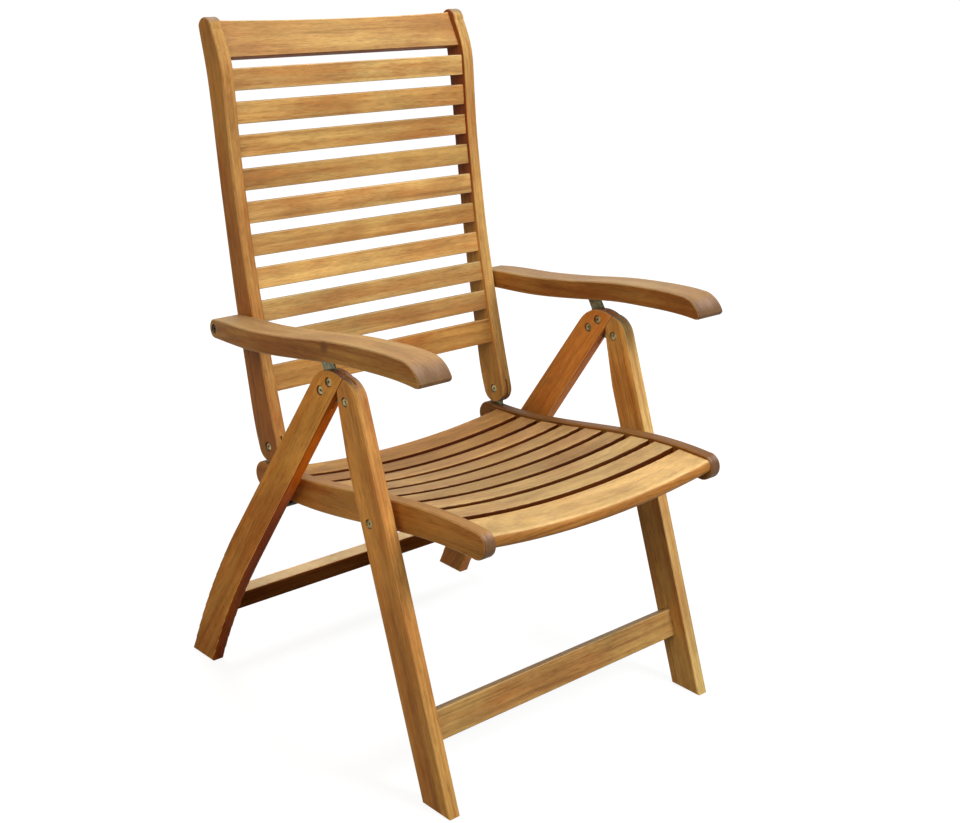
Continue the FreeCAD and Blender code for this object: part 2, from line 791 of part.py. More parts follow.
# Places that follow from the sizes, in side view
leg_pivot = (front_edge_back(leg_pivot_z) + leg_pivot_in, leg_pivot_z)
bracket_bolt_high = in_rear_leg(bracket_high_up, bracket_high_in)
bracket_bolt_low = in_rear_leg(-bracket_low_down, bracket_low_in)
seat_pivot = meet(front_edge_back, seat_pivot_in, seat_pivot_height)
pin_place = meet(rear_edge_at, pin_in, pin_height)
rail_bolt = rail_bolt_place()
back_pivot = (rail_bolt[0] + hinge_behind, rail_bolt[1] + hinge_rise)
depth = back_pivot[0] + stile_rear_pts[-1][0]
arm_pivot_z = leg_pivot_z + arm_pivot_rise
arm_pivot = (on_stile(arm_pivot_z)[0] + arm_pivot_in, arm_pivot_z)
for name, place in (("leg", leg_pivot), ("seat", seat_pivot), ("back", back_pivot), ("arm", arm_pivot)):
    print("%s pivot at y %.3f, z %.3f" % (name, place[0] - depth / 2, place[1]))

os.makedirs("parts", exist_ok=True)
export_pair("front_leg", front_leg())
export("front_stretcher", front_stretcher_block())
export_pair("rear_leg", rear_leg())
export("rear_stretcher", rear_stretcher_block())
export_pair("leg_bracket", leg_bracket())
export_pair("support_pin", support_pin())
export("leg_pivot_bolts", both(sleeve_bolt(leg_pivot, leg_inner, leg_outer)))
high_bolts = both(sleeve_bolt(bracket_bolt_high, leg_inner, leg_outer)).Solids
low_bolts = both(sleeve_bolt(bracket_bolt_low, leg_inner, leg_outer)).Solids
export("bracket_bolts", Part.makeCompound(high_bolts + low_bolts))
export_pair("seat_rail", seat_rail())
for number in range(seat_slats):
    export("seat_slat_%d" % (number + 1), seat_slat(number))
export_pair("seat_hinge", seat_hinge())
export("seat_hinge_bolts", both(sleeve_bolt(rail_bolt, rail_inner, rail_outer)))
export("seat_pivot_bolts", both(sleeve_bolt(seat_pivot, rail_inner, leg_outer)))
export("seat_spacers", both(seat_spacer()))
export_pair("back_stile", back_stile())
export("top_rail", top_rail())
for number in range(back_slats):
    export("back_slat_%d" % (number + 1), back_slat(number))
export("back_pivot_bolts", both(sleeve_bolt(back_pivot, rail_inner, rail_outer)))
export_pair("armrest", armrest())
export_pair("notch_plate", notch_plate())
export("arm_pivot_bolts", both(blind_bolt(arm_pivot, arm_bolt_end(), arm_side(arm_pivot[0]))))
export("arm_washers", both(arm_washer()))
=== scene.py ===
"""Dresses the folding slatted armchair: oiled hardwood boards, zinc-plated hardware, studio and camera."""

import json
import logging
import math
from dataclasses import dataclass
from enum import Enum
from typing import Any, Optional, Union

import bpy
from mathutils import Matrix, Vector


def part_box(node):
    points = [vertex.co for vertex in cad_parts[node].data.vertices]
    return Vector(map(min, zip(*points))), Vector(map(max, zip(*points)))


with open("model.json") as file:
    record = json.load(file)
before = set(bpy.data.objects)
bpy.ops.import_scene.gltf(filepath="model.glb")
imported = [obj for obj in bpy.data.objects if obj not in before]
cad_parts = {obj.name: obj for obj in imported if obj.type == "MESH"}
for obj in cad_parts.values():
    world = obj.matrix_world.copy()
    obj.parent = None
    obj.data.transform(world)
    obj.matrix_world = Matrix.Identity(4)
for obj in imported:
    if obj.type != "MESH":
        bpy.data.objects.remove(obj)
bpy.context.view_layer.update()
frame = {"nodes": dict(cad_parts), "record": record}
LOG = logging.getLogger("armchair")

Colour = tuple[float, float, float]
Point = tuple[float, float, float]
Span = tuple[float, float]
Number = Union["Value", float]

IMAGE_WIDTH = 960
IMAGE_HEIGHT = 823
SENSOR_MM = 36.0
STEEL_SLOT = "zinc_steel"

WHITE: Colour = (1.0, 1.0, 1.0)
UP: Point = (0.0, 0.0, 1.0)
TO_LEFT: Point = (-1.0, 0.0, 0.0)
TO_FRONT: Point = (0.0, -1.0, 0.0)
BELOW_ALL = -1.0

# The Mix node's inputs and output for colours.
MIX_SHARE = 0
MIX_FIRST = 6
MIX_SECOND = 7
MIX_RESULT = 2

# The factors of the fixed draws, and how many metres of wood the boards are cut from.
DRAW_SEED = 12.9898
DRAW_STEP = 78.233
DRAW_SPREAD = 43758.5453
LOG_LENGTH = 3.0


def srgb(red: float, green: float, blue: float) -> Colour:
    """Turns a display colour into the linear one that a shader takes.

    Args:
        red: Red from 0 to 255.
        green: Green from 0 to 255.
        blue: Blue from 0 to 255.

    Returns:
        The linear colour, from 0 to 1.
    """
    def linear(channel: float) -> float:
        """Makes one channel linear, by the standard's straight foot or its curve."""
        share = channel / 255.0
        return share / 12.92 if share <= 0.04045 else ((share + 0.055) / 1.055) ** 2.4

    return linear(red), linear(green), linear(blue)


@dataclass(frozen=True)
class Noise:
    """A noise of a finish.

    The stretch is how many times it repeats in a metre along each axis. The detail is the number of finer
    layers, and the roughness is how strong they are.
    """

    stretch: Point
    detail: float = 2.0
    roughness: float = 0.5


class Value:
    """A number that changes over a surface; arithmetic on it adds Math nodes."""

    def __init__(self, graph: "Graph", socket: bpy.types.NodeSocket) -> None:
        """Wraps an output socket of a graph's node."""
        self.graph = graph
        self.socket = socket

    def _math(self, operation: str, *terms: Number) -> "Value":
        """Adds a Math node.

        Args:
            operation: The Math node's operation.
            terms: Its inputs, in order.

        Returns:
            The node's result.
        """
        node = self.graph.add("ShaderNodeMath", {"operation": operation}, dict(enumerate(terms)))
        return Value(self.graph, node.outputs[0])

    def __add__(self, other: Number) -> "Value":
        """Adds."""
        return self._math("ADD", self, other)

    __radd__ = __add__

    def __sub__(self, other: Number) -> "Value":
        """Subtracts."""
        return self._math("SUBTRACT", self, other)

    def __rsub__(self, other: Number) -> "Value":
        """Subtracts this from a number."""
        return self._math("SUBTRACT", other, self)

    def __mul__(self, other: Number) -> "Value":
        """Multiplies."""
        return self._math("MULTIPLY", self, other)

    __rmul__ = __mul__

    def __truediv__(self, other: Number) -> "Value":
        """Divides."""
        return self._math("DIVIDE", self, other)

    def __rtruediv__(self, other: Number) -> "Value":
        """Divides a number by this."""
        return self._math("DIVIDE", other, self)

    def __abs__(self) -> "Value":
        """Drops the sign."""
        return self._math("ABSOLUTE", self)

    def root(self) -> "Value":
        """Takes the square root."""
        return self._math("SQRT", self)

    def fraction(self) -> "Value":
        """Keeps what is left after the whole number."""
        return self._math("FRACT", self)

    def centred(self) -> "Value":
        """Shifts a noise so that it swings about 0."""
        return self - 0.5

    def rise(self, low: float, high: float) -> "Value":
        """Goes smoothly from 0 to 1.

        Args:
            low: Where the result leaves 0.
            high: Where it reaches 1.

        Returns:
            The smooth step.
        """
        node = self.graph.add("ShaderNodeMapRange", {"interpolation_type": "SMOOTHSTEP"},
                              {"Value": self, "From Min": low, "From Max": high})
        return Value(self.graph, node.outputs[0])


class Graph:
    """The node tree of a material or a world, built node by node."""

    def __init__(self, owner: Union[bpy.types.Material, bpy.types.World]) -> None:
        """Starts an empty tree for its owner."""
        self.owner = owner
        owner.use_nodes = True
        self.tree = owner.node_tree
        self.tree.nodes.clear()

    def add(self, kind: str, settings: Optional[dict[str, Any]] = None,
            sockets: Optional[dict[Union[str, int], Any]] = None) -> bpy.types.Node:
        """Adds a node.

        Args:
            kind: The node's type.
            settings: Its own settings, which are set first.
            sockets: The values or links of its inputs, by name or number.

        Returns:
            The new node.
        """
        node = self.tree.nodes.new(kind)
        for key, setting in (settings or {}).items():
            setattr(node, key, setting)
        for key, value in (sockets or {}).items():
            if isinstance(value, Value):
                value = value.socket
            if isinstance(value, bpy.types.NodeSocket):
                self.tree.links.new(value, node.inputs[key])
            else:
                node.inputs[key].default_value = value
        return node

    def noise(self, place: bpy.types.NodeSocket, noise: Noise) -> Value:
        """Adds a noise.

        Args:
            place: The coordinates.
            noise: Its stretch and its finer layers.

        Returns:
            The noise, from 0 to 1.
        """
        scaled = self.add("ShaderNodeVectorMath", {"operation": "MULTIPLY"}, {0: place, 1: noise.stretch})
        node = self.add("ShaderNodeTexNoise", {"noise_dimensions": "3D"},
                        {"Vector": scaled.outputs[0], "Scale": 1.0, "Detail": noise.detail,
                         "Roughness": noise.roughness})
        return Value(self, node.outputs[0])

    def mix(self, first: Any, second: Any, share: Number, blend: str = "MIX") -> bpy.types.NodeSocket:
        """Mixes two colours.

        Args:
            first: The colour, or its link, where the share is 0.
            second: The colour, or its link, where the share is 1.
            share: How much of the second shows.
            blend: The way that they mix.

        Returns:
            The mixed colour's socket.
        """
        def whole(colour: Any) -> Any:
            """Gives a plain colour its opacity."""
            return (*colour, 1.0) if isinstance(colour, tuple) else colour

        node = self.add("ShaderNodeMix", {"data_type": "RGBA", "blend_type": blend},
                        {MIX_SHARE: share, MIX_FIRST: whole(first), MIX_SECOND: whole(second)})
        return node.outputs[MIX_RESULT]

    def tinted(self, colour: Any, tint: Any, share: Number = 1.0) -> bpy.types.NodeSocket:
        """Multiplies a colour by another.

        Args:
            colour: The colour, or its link.
            tint: What it is multiplied by, or its link.
            share: How much of that shows.

        Returns:
            The tinted colour's socket.
        """
        return self.mix(colour, tint, share, "MULTIPLY")

    def bump(self, height: Value, strength: float, depth: float) -> bpy.types.NodeSocket:
        """Turns a height into a normal.

        Args:
            height: The height, from 0 to 1.
            strength: How much of the slope shows.
            depth: The height of a whole step, in metres.

        Returns:
            The normal's socket.
        """
        node = self.add("ShaderNodeBump", {}, {"Strength": strength, "Distance": depth, "Height": height})
        return node.outputs[0]

    def surface(self, **sockets: Any) -> bpy.types.Material:
        """Ends the tree in a surface shader.

        Args:
            sockets: The shader's inputs, with _ for a space in their names.

        Returns:
            The finished material.
        """
        named = {key.replace("_", " "): value for key, value in sockets.items()}
        shader = self.add("ShaderNodeBsdfPrincipled", {}, named)
        self.add("ShaderNodeOutputMaterial", {}, {"Surface": shader.outputs[0]})
        return self.owner


class Cut(Enum):
    """The way that a board's wide face looks."""

    SIDE = "to the left and right"
    FRONT = "to the front"
    TOP = "up"


@dataclass(frozen=True)
class Board:
    """One board: how it was cut, and what sets its wood apart from its neighbours'.

    A side board's lean is its grain's tilt rearward from upright. A slat's lean is its wide face's tilt.
    Warmth takes green and blue away. The shade tint paints shade on the faces that look the shade's way,
    from a height upward. The top sheen paints a pale sheen on the faces that look up, the edge shading
    paints light and shade on the faces other than the wide ones, and the end shade paints shade on the cut
    ends.
    The knot is the middle of a knot in the board.
    """

    node: str
    cut: Cut
    lean: float
    seed: int
    tone: float = 1.0
    warmth: float = 0.0
    warm_green: float = 0.12
    warm_blue: float = 0.3
    red: float = 0.5
    # The top sheen paints a pale sheen on the faces that look up.
    top_sheen: float = 0.3
    # The edge shading paints light and shade on the faces other than the wide ones.
    edge_shading: Colour = WHITE
    shade_tint: Optional[Colour] = None
    shade_way: Point = TO_LEFT
    shade_from: float = BELOW_ALL
    gloss: float = 0.14
    # The end shade paints shade on the cut ends.
    end_shade: float = 1.0
    knot: Optional[Point] = None

    def axes(self) -> Matrix:
        """Gives the board's own axes as rows: along the grain, across its width and through it."""
        turn = math.radians(self.lean)
        if self.cut is Cut.SIDE:
            along = Vector((0.0, math.sin(turn), math.cos(turn)))
            through = Vector((1.0, 0.0, 0.0))
        else:
            along = Vector((1.0, 0.0, 0.0))
            tilt = turn if self.cut is Cut.FRONT else math.radians(90.0) + turn
            through = Vector((0.0, -math.cos(tilt), math.sin(tilt)))
        return Matrix((along, through.cross(along), through))

    def tint(self) -> Colour:
        """Gives the colour that the board's wood is multiplied with."""
        green = self.tone * (1.0 - self.warm_green * self.warmth)
        blue = self.tone * (1.0 - self.warm_blue * self.warmth)
        return self.tone, green, blue

    def middle(self) -> Vector:
        """Gives the middle of the board's box."""
        low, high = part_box(self.node)
        return (low + high) / 2

    def draw(self, step: int) -> float:
        """Draws a fixed number from 0 to 1 for this board.

        Args:
            step: Which of the board's numbers.

        Returns:
            The number, the same on each run.
        """
        return math.sin(self.seed * DRAW_SEED + step * DRAW_STEP) * DRAW_SPREAD % 1.0


@dataclass(frozen=True)
class WoodColours:
    """The colours of oiled golden-brown hardwood, and of the sheen, highlight and shade painted on it."""

    golden: Colour = srgb(216, 168, 94)
    russet: Colour = srgb(182, 121, 60)
    late: Colour = srgb(115, 68, 30)
    pore: Colour = srgb(66, 36, 16)
    end: Colour = srgb(100, 76, 58)
    # A painted sheen for the cut ends that look up.
    end_sheen: Colour = srgb(204, 174, 158)
    # A painted sheen for the faces that look up.
    sheen_colour: Colour = srgb(216, 187, 138)
    # A painted highlight, with some wear, for the rims.
    worn_highlight: Colour = srgb(232, 190, 128)
    # Painted shade for the wide side faces.
    side_shade_tint: Colour = (1.0, 0.88, 0.72)


@dataclass(frozen=True)
class WoodNoises:
    """The noises of straight open grain, from the widest to the finest, and those of the cut ends."""

    wander: Noise = Noise((1.4, 6.0, 6.0), 1.0)
    patch: Noise = Noise((5.0, 10.0, 10.0))
    mottle: Noise = Noise((9.0, 22.0, 22.0), 3.0, 0.6)
    ripple: Noise = Noise((5.0, 30.0, 30.0))
    band: Noise = Noise((1.2, 36.0, 36.0), 3.0, 0.55)
    streak: Noise = Noise((2.2, 80.0, 80.0), 3.0, 0.6)
    vein: Noise = Noise((2.6, 130.0, 130.0))
    fleck: Noise = Noise((22.0, 210.0, 210.0), 2.0, 0.6)
    fibre: Noise = Noise((70.0, 430.0, 430.0), 2.0, 0.6)
    pores: Noise = Noise((40.0, 900.0, 900.0), 1.0)
    end_cells: Noise = Noise((140.0, 520.0, 160.0), 2.0, 0.6)
    end_bands: Noise = Noise((6.0, 16.0, 62.0))


@dataclass(frozen=True)
class Rings:
    """The growth rings: their pitch, the place of the tree's heart and how far they waver."""

    pitch: float = 0.0062
    heart_spread: float = 0.12
    heart_depth: float = 0.07
    heart_depth_spread: float = 0.10
    wander_across: float = 0.016
    wander_through: float = 0.010
    ripple: float = 0.5
    late_rise: Span = (0.25, 0.90)
    late_fall: Span = (0.90, 1.0)


@dataclass(frozen=True)
class Figure:
    """How much each noise shows in the colour, the shade and the relief of the wood."""

    streak_red: float = 1.5
    patch_red: float = 1.9
    fleck_red: float = 0.7
    late_share: float = 0.20
    vein_share: float = 0.34
    vein_span: Span = (0.60, 0.72)
    fleck_share: float = 0.30
    fleck_span: Span = (0.0, 0.3)
    pore_share: float = 0.34
    pore_span: Span = (0.60, 0.74)
    mottle_shade: float = 0.75
    fleck_shade: float = 0.35
    fibre_shade: float = 0.55
    band_shade: float = 0.5
    fibre_relief: float = 0.6
    late_relief: float = 0.25
    pore_relief: float = 0.9
    relief_strength: float = 0.4
    relief_depth: float = 0.0004
    least_roughness: float = 0.40
    fleck_roughness: float = 0.22


@dataclass(frozen=True)
class WearAndLight:
    """Painted light and wear: sheen on the tops, highlit worn rims, shade towards the floor and where shade
    sets in.
    """

    # Where the painted sheen on the faces that look up sets in and where it is full.
    sheen_top_span: Span = (0.3, 0.95)
    wide_span: Span = (0.6, 0.97)
    rim_rise: Span = (0.70, 0.86)
    rim_fall: Span = (0.93, 0.995)
    rim_least: float = 0.25
    fleck_share: float = 0.5
    # Painted shade: the wood darkens towards the floor, up to this height.
    low_shade: float = 0.18
    low_shade_height: float = 0.42
    shade_fade: float = 0.2


@dataclass(frozen=True)
class EndGrain:
    """How the cut ends of a board show: dark rings and cells, and a painted sheen in pale bands where they
    look up.
    """

    span: Span = (0.3, 0.78)
    share: float = 0.72
    ring_share: float = 0.25
    cell_middle: float = 0.45
    cell_span: Span = (0.0, 0.3)
    cell_share: float = 0.4
    # Where the painted sheen on cut ends that look up sets in.
    sheen_top_span: Span = (0.5, 0.9)
    band_span: Span = (0.36, 0.64)
    sheen_cells: float = 0.4
    sheen_bands: float = 0.55
    sheen_least: float = 0.05


@dataclass(frozen=True)
class Knot:
    """How a knot darkens the wood: its reach in metres, how far that wavers, and its strength."""

    span: Span = (0.002, 0.013)
    waver: float = 0.008
    share: float = 0.75


@dataclass(frozen=True)
class Timber:
    """Oiled golden-brown hardwood with straight open grain."""

    colours: WoodColours = WoodColours()
    noises: WoodNoises = WoodNoises()
    rings: Rings = Rings()
    figure: Figure = Figure()
    wear_and_light: WearAndLight = WearAndLight()
    end_grain: EndGrain = EndGrain()
    knot: Knot = Knot()


class BoardSkin:
    """The material of one board, made layer by layer on the board's own axes."""

    def __init__(self, timber: Timber, board: Board) -> None:
        """Starts the tree with the coordinates and the noises that several layers share.

        Args:
            timber: The kind of wood.
            board: The board, with its cut and its own tone.
        """
        self.timber = timber
        self.board = board
        self.axes = board.axes()
        self.graph = Graph(bpy.data.materials.new("wood_" + board.node))
        self.where = self.graph.add("ShaderNodeTexCoord")
        middle = self.axes @ board.middle()
        self.grain = self.turned(Vector((board.draw(1), board.draw(2), board.draw(3))) * LOG_LENGTH - middle)
        self.local = self.turned(-middle)
        self.mottle = self.noise(timber.noises.mottle)
        self.fleck = self.noise(timber.noises.fleck)
        self.fibre = self.noise(timber.noises.fibre)
        self.pores = self.noise(timber.noises.pores).rise(*timber.figure.pore_span)
        self.late = self.late_wood()

    def turned(self, start: Vector) -> bpy.types.NodeSocket:
        """Turns the coordinates to run along, across and through the board.

        Args:
            start: What is added to the turned coordinates.

        Returns:
            The coordinates' socket.
        """
        node = self.graph.add("ShaderNodeMapping", {"vector_type": "POINT"},
                              {"Vector": self.where.outputs["Object"], "Location": start,
                               "Rotation": self.axes.to_euler()})
        return node.outputs[0]

    def noise(self, noise: Noise) -> Value:
        """Adds a noise along the board's grain."""
        return self.graph.noise(self.grain, noise)

    def part_of(self, place: bpy.types.NodeSocket, axis: int) -> Value:
        """Takes one coordinate of a place, by the number of its axis."""
        return Value(self.graph, self.graph.add("ShaderNodeSeparateXYZ", {}, {0: place}).outputs[axis])

    def facing(self, direction: Point) -> Value:
        """Tells how much the surface faces a direction.

        Args:
            direction: The direction, a metre long.

        Returns:
            1 where the surface faces it, and -1 where it faces away.
        """
        node = self.graph.add("ShaderNodeVectorMath", {"operation": "DOT_PRODUCT"},
                              {0: self.where.outputs["Normal"], 1: direction})
        return Value(self.graph, node.outputs[1])

    def late_wood(self) -> Value:
        """Finds the late wood of the growth rings, which lie round a heart beside the board."""
        rings = self.timber.rings
        wander = self.noise(self.timber.noises.wander).centred()
        ripple = self.noise(self.timber.noises.ripple).centred()
        heart = rings.heart_spread * (self.board.draw(4) - 0.5)
        depth = rings.heart_depth + rings.heart_depth_spread * self.board.draw(5)
        across = self.part_of(self.local, 1) + wander * rings.wander_across + heart
        through = self.part_of(self.local, 2) + wander * rings.wander_through + depth
        radius = (across * across + through * through).root()
        ring = (radius / rings.pitch + ripple * rings.ripple).fraction()
        return ring.rise(*rings.late_rise) * (1.0 - ring.rise(*rings.late_fall))

    def plain(self) -> bpy.types.NodeSocket:
        """Makes the colour of the fresh wood: golden to russet, with late wood, veins and pores."""
        colours = self.timber.colours
        noises = self.timber.noises
        figure = self.timber.figure
        fleck = self.fleck.centred()
        streak = self.noise(noises.streak).centred()
        patch = self.noise(noises.patch).centred()
        vein = self.noise(noises.vein).rise(*figure.vein_span)
        red = streak * figure.streak_red + patch * figure.patch_red
        red = red + fleck * figure.fleck_red + self.board.red
        dark = self.late * figure.late_share + vein * figure.vein_share
        dark = dark + fleck.rise(*figure.fleck_span) * figure.fleck_share
        colour = self.graph.mix(colours.golden, colours.russet, red.rise(0.0, 1.0))
        colour = self.graph.mix(colour, colours.late, dark)
        return self.graph.mix(colour, colours.pore, self.pores * figure.pore_share)

    def with_painted_light(self, colour: bpy.types.NodeSocket) -> bpy.types.NodeSocket:
        """Paints a sheen on the tops, shade on the side faces, light and shade on the edges and a highlit
        wear on the rims.

        Args:
            colour: The colour of the fresh wood.

        Returns:
            The colour with its painted light.
        """
        colours = self.timber.colours
        wear_and_light = self.timber.wear_and_light
        flecks = self.fleck * wear_and_light.fleck_share
        # Painted sheen: the faces that look up turn paler.
        top = self.facing(UP).rise(*wear_and_light.sheen_top_span)
        top_sheen = flecks + (self.board.top_sheen - wear_and_light.fleck_share / 2)
        colour = self.graph.mix(colour, colours.sheen_colour, top * top_sheen)
        face = abs(self.facing(tuple(self.axes[2])))
        wide = face.rise(*wear_and_light.wide_span)
        # Painted shade on the wide side faces of the side boards.
        if self.board.cut is Cut.SIDE:
            colour = self.graph.tinted(colour, colours.side_shade_tint, wide)
        # Painted light and shade on the faces other than the wide ones.
        colour = self.graph.tinted(colour, self.board.edge_shading, 1.0 - wide)
        # A painted highlight, with some wear, along the rounded rims.
        rim = face.rise(*wear_and_light.rim_rise) * (1.0 - face.rise(*wear_and_light.rim_fall))
        return self.graph.mix(colour, colours.worn_highlight, rim * (flecks + wear_and_light.rim_least))

    def shaded(self, colour: bpy.types.NodeSocket) -> bpy.types.NodeSocket:
        """Paints shade on the shaded faces and towards the floor, and gives the figure and the board's own
        tone.

        Args:
            colour: The colour with its painted light.

        Returns:
            The shaded colour.
        """
        board = self.board
        wear_and_light = self.timber.wear_and_light
        figure = self.timber.figure
        height = self.part_of(self.where.outputs["Object"], 2)
        if board.shade_tint:
            shaded = self.facing(board.shade_way).rise(*wear_and_light.wide_span)
            shaded = shaded * height.rise(board.shade_from, board.shade_from + wear_and_light.shade_fade)
            colour = self.graph.tinted(colour, board.shade_tint, shaded)
        band = self.noise(self.timber.noises.band).centred()
        shade = self.mottle.centred() * figure.mottle_shade + self.fleck.centred() * figure.fleck_shade
        shade = shade + self.fibre.centred() * figure.fibre_shade + band * figure.band_shade + 1.0
        # Painted shade, darker towards the floor.
        shade = shade * (height.rise(0.0, wear_and_light.low_shade_height) * wear_and_light.low_shade + (1.0 - wear_and_light.low_shade))
        shades = (shade * channel for channel in board.tint())
        tone = self.graph.add("ShaderNodeCombineXYZ", {}, dict(enumerate(shades)))
        return self.graph.tinted(colour, tone.outputs[0])

    def ended(self, colour: bpy.types.NodeSocket) -> bpy.types.NodeSocket:
        """Shows the end grain where the board is cut across.

        Args:
            colour: The shaded colour.

        Returns:
            The colour with its ends.
        """
        board = self.board
        colours = self.timber.colours
        end = self.timber.end_grain
        cells = self.noise(self.timber.noises.end_cells)
        bands = self.noise(self.timber.noises.end_bands).rise(*end.band_span)
        dark = self.late * end.ring_share + (cells - end.cell_middle).rise(*end.cell_span) * end.cell_share
        # The pale part is a painted sheen on cut ends that look up.
        pale = cells * end.sheen_cells + bands * end.sheen_bands + end.sheen_least
        cut_colour = self.graph.mix(colours.end, colours.late, dark)
        cut_colour = self.graph.mix(cut_colour, colours.end_sheen, self.facing(UP).rise(*end.sheen_top_span) * pale)
        # Painted shade on the cut ends.
        cut_colour = self.graph.tinted(cut_colour, (board.end_shade, board.end_shade, board.end_shade))
        ends = abs(self.facing(tuple(self.axes[0]))).rise(*end.span)
        return self.graph.mix(colour, cut_colour, ends * end.share)

    def knotted(self, colour: bpy.types.NodeSocket) -> bpy.types.NodeSocket:
        """Darkens the wood round the board's knot, where it has one.

        Args:
            colour: The colour with its ends.

        Returns:
            The colour with its knot.
        """
        if not self.board.knot:
            return colour
        knot = self.timber.knot
        away = self.graph.add("ShaderNodeVectorMath", {"operation": "DISTANCE"},
                              {0: self.where.outputs["Object"], 1: self.board.knot})
        reach = Value(self.graph, away.outputs["Value"]) + self.mottle.centred() * knot.waver
        return self.graph.mix(colour, self.timber.colours.late, (1.0 - reach.rise(*knot.span)) * knot.share)

    def material(self) -> bpy.types.Material:
        """Puts the layers together to the board's material."""
        figure = self.timber.figure
        colour = self.knotted(self.ended(self.shaded(self.with_painted_light(self.plain()))))
        relief = self.fibre * figure.fibre_relief + self.late * figure.late_relief
        relief = relief - self.pores * figure.pore_relief
        return self.graph.surface(
            Base_Color=colour, Roughness=self.fleck * figure.fleck_roughness + figure.least_roughness,
            Normal=self.graph.bump(relief, figure.relief_strength, figure.relief_depth),
            Specular_IOR_Level=self.board.gloss)


@dataclass(frozen=True)
class Plating:
    """Plated steel with a cloudy cast and handling marks."""

    name: str
    bright: Colour
    dull: Colour
    roughness: float = 0.36
    cloud: Noise = Noise((160.0, 160.0, 160.0), 3.0)
    cloud_span: Span = (0.3, 0.7)
    scuff: Noise = Noise((900.0, 2600.0, 700.0))
    scuff_roughness: float = 0.2
    scuff_strength: float = 0.12
    scuff_depth: float = 0.0001

    def material(self) -> bpy.types.Material:
        """Makes the plating's material."""
        graph = Graph(bpy.data.materials.new(self.name))
        where = graph.add("ShaderNodeTexCoord").outputs["Object"]
        cloud = graph.noise(where, self.cloud)
        scuff = graph.noise(where, self.scuff)
        roughness = scuff * self.scuff_roughness + (self.roughness - self.scuff_roughness / 2)
        return graph.surface(Base_Color=graph.mix(self.dull, self.bright, cloud.rise(*self.cloud_span)),
                             Metallic=1.0, Roughness=roughness,
                             Normal=graph.bump(scuff, self.scuff_strength, self.scuff_depth))


def dress(node: str, material: bpy.types.Material) -> None:
    """Gives a CAD node its material.

    Args:
        node: The node's name.
        material: The finish.
    """
    slots = frame["nodes"][node].material_slots
    if not slots:
        frame["nodes"][node].data.materials.append(material)
    for slot in slots:
        slot.material = material
    LOG.info("dressed %s in %s", node, material.name)


